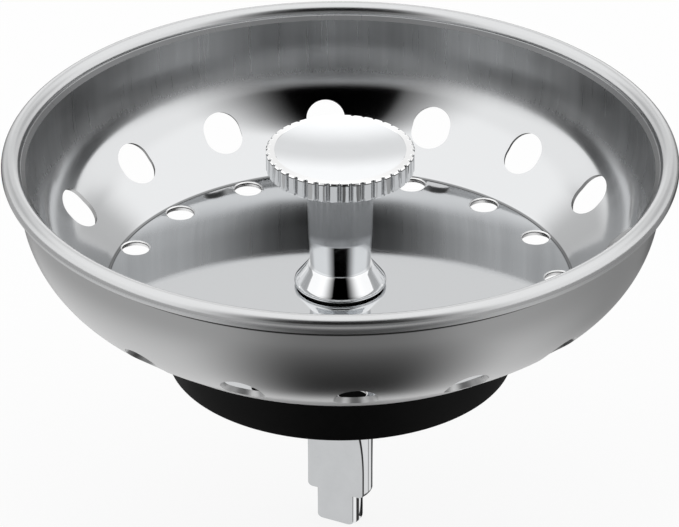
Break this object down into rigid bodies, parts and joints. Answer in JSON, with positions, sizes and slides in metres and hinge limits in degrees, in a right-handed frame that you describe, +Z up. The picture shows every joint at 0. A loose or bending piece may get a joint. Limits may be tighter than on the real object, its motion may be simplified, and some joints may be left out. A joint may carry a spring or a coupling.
{
  "type": "sink strainer",
  "caption": "Removable basket strainer for a kitchen sink drain: perforated steel bowl with a rolled rim, knurled turning knob, rubber stopper below and a stepped, flatted drain post.",
  "frame": {"origin": "on the turning axis, in the plane of the stopper's underside, where it meets the seat of the drain", "axes": "+Z up along the turning axis, out of the drain; +X through the middle of one of the large holes"},
  "size_m": [0.0824, 0.0824, 0.052],
  "materials": {
    "basket_steel": "satin rim and wall, polished slope and floor",
    "washer_steel": "plain",
    "post_chrome": "bright plate",
    "collar_chrome": "bright plate",
    "knob_chrome": "bright plate",
    "turned_brass": "turned",
    "stopper_rubber": "matt moulded",
    "black_nylon": "matt"
  },
  "bodies": {
    "basket": {"basket": "basket_steel", "backing_washer": "washer_steel", "stopper": "stopper_rubber"},
    "handle": {"knob": "knob_chrome", "knob_insert": "turned_brass", "collar": "collar_chrome", "floor_washer": "black_nylon", "spacer_sleeve": "turned_brass", "retaining_washer": "washer_steel", "lock_washer": "washer_steel", "drain_post": "post_chrome"}
  },
  "joints": [
    {"name": "handle_turn", "type": "hinge", "parent": "basket", "child": "handle", "pos_m": [0, 0, 0], "axis": [0, 0, 1], "continuous": true}
  ]
}
